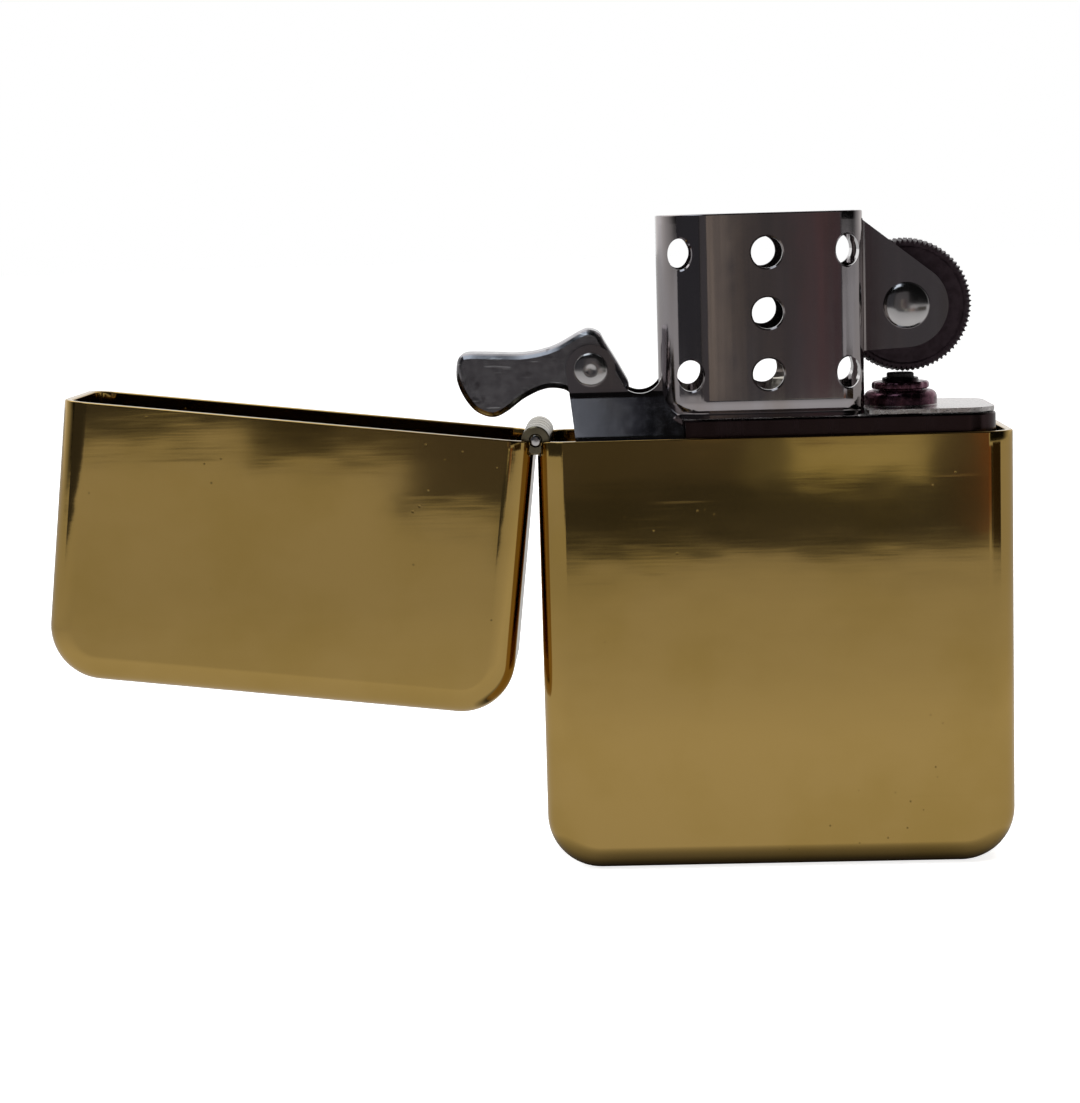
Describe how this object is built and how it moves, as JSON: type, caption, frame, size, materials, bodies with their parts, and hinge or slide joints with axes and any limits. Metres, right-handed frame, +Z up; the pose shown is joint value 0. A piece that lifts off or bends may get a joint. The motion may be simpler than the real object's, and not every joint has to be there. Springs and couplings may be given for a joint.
{
  "type": "pocket lighter",
  "caption": "Flip-top wick lighter: brass case and hinged lid around a lift-out insert with pierced chimney, sparking wheel, cam lever, wick, flint and spring.",
  "frame": {"origin": "centre of the case's flat base, on the surface it stands on", "axes": "+X to the wheel's side (the lid hangs open to -X), +Y from the front face to the back face, +Z up"},
  "size_m": [0.0781, 0.013, 0.0527],
  "materials": {
    "polished_brass": "polished, with fine scratches",
    "bright_steel": "polished",
    "steel": "satin",
    "hardened_steel": "blackened",
    "plum_copper": "tarnished",
    "yellow_brass": "satin",
    "flint": "matte",
    "cotton": "fibrous",
    "felt": "felted"
  },
  "bodies": {
    "case": {"case_shell": "polished_brass", "hinge_leaf_case": "steel", "hinge_pin": "steel"},
    "lid": {"lid_shell": "polished_brass", "hinge_leaf_lid": "steel"},
    "insert": {"fuel_tank": "steel", "top_deck": "steel", "flint_plate": "steel", "chimney": "bright_steel", "flint_tube": "plum_copper", "wheel_axle": "bright_steel", "cam_pin": "bright_steel", "cam_spring": "steel", "cam_spring_rivet": "steel", "wick": "cotton", "cotton_wad_1": "cotton", "cotton_wad_2": "cotton", "cotton_wad_3": "cotton", "cotton_wad_4": "cotton", "felt_pad": "felt", "flint_spring": "steel"},
    "wheel": {"flint_wheel": "hardened_steel"},
    "cam": {"cam_lever": "steel"},
    "flint_feed": {"flint": "flint", "spring_tip": "yellow_brass"},
    "screw": {"flint_screw": "yellow_brass"}
  },
  "joints": [
    {"name": "lid_hinge", "type": "hinge", "parent": "case", "child": "lid", "pos_m": [-0.0191, 0, 0.03518], "axis": [0, -1, 0], "range_deg": [-173.4, 0]},
    {"name": "insert_slide", "type": "slide", "parent": "case", "child": "insert", "axis": [0, 0, 1], "range_m": [0, 0.036]},
    {"name": "cam_pivot", "type": "hinge", "parent": "insert", "child": "cam", "pos_m": [-0.01458, 0, 0.04057], "axis": [0, -1, 0], "range_deg": [-95, 0]},
    {"name": "wheel_spin", "type": "hinge", "parent": "insert", "child": "wheel", "pos_m": [0.01085, 0, 0.04505], "axis": [0, 1, 0], "continuous": true},
    {"name": "flint_slide", "type": "slide", "parent": "insert", "child": "flint_feed", "axis": [0, 0, 1], "range_m": [-0.003, 0], "stiffness_N_per_m": 60, "deforming": ["flint_spring"]},
    {"name": "screw_turn", "type": "hinge", "parent": "insert", "child": "screw", "pos_m": [0.01055, 0, 0.003], "axis": [0, 0, 1], "continuous": true}
  ],
  "couplings": [
    {"joint": "cam_pivot", "follows": "lid_hinge", "ratio": 0.5478}
  ]
}
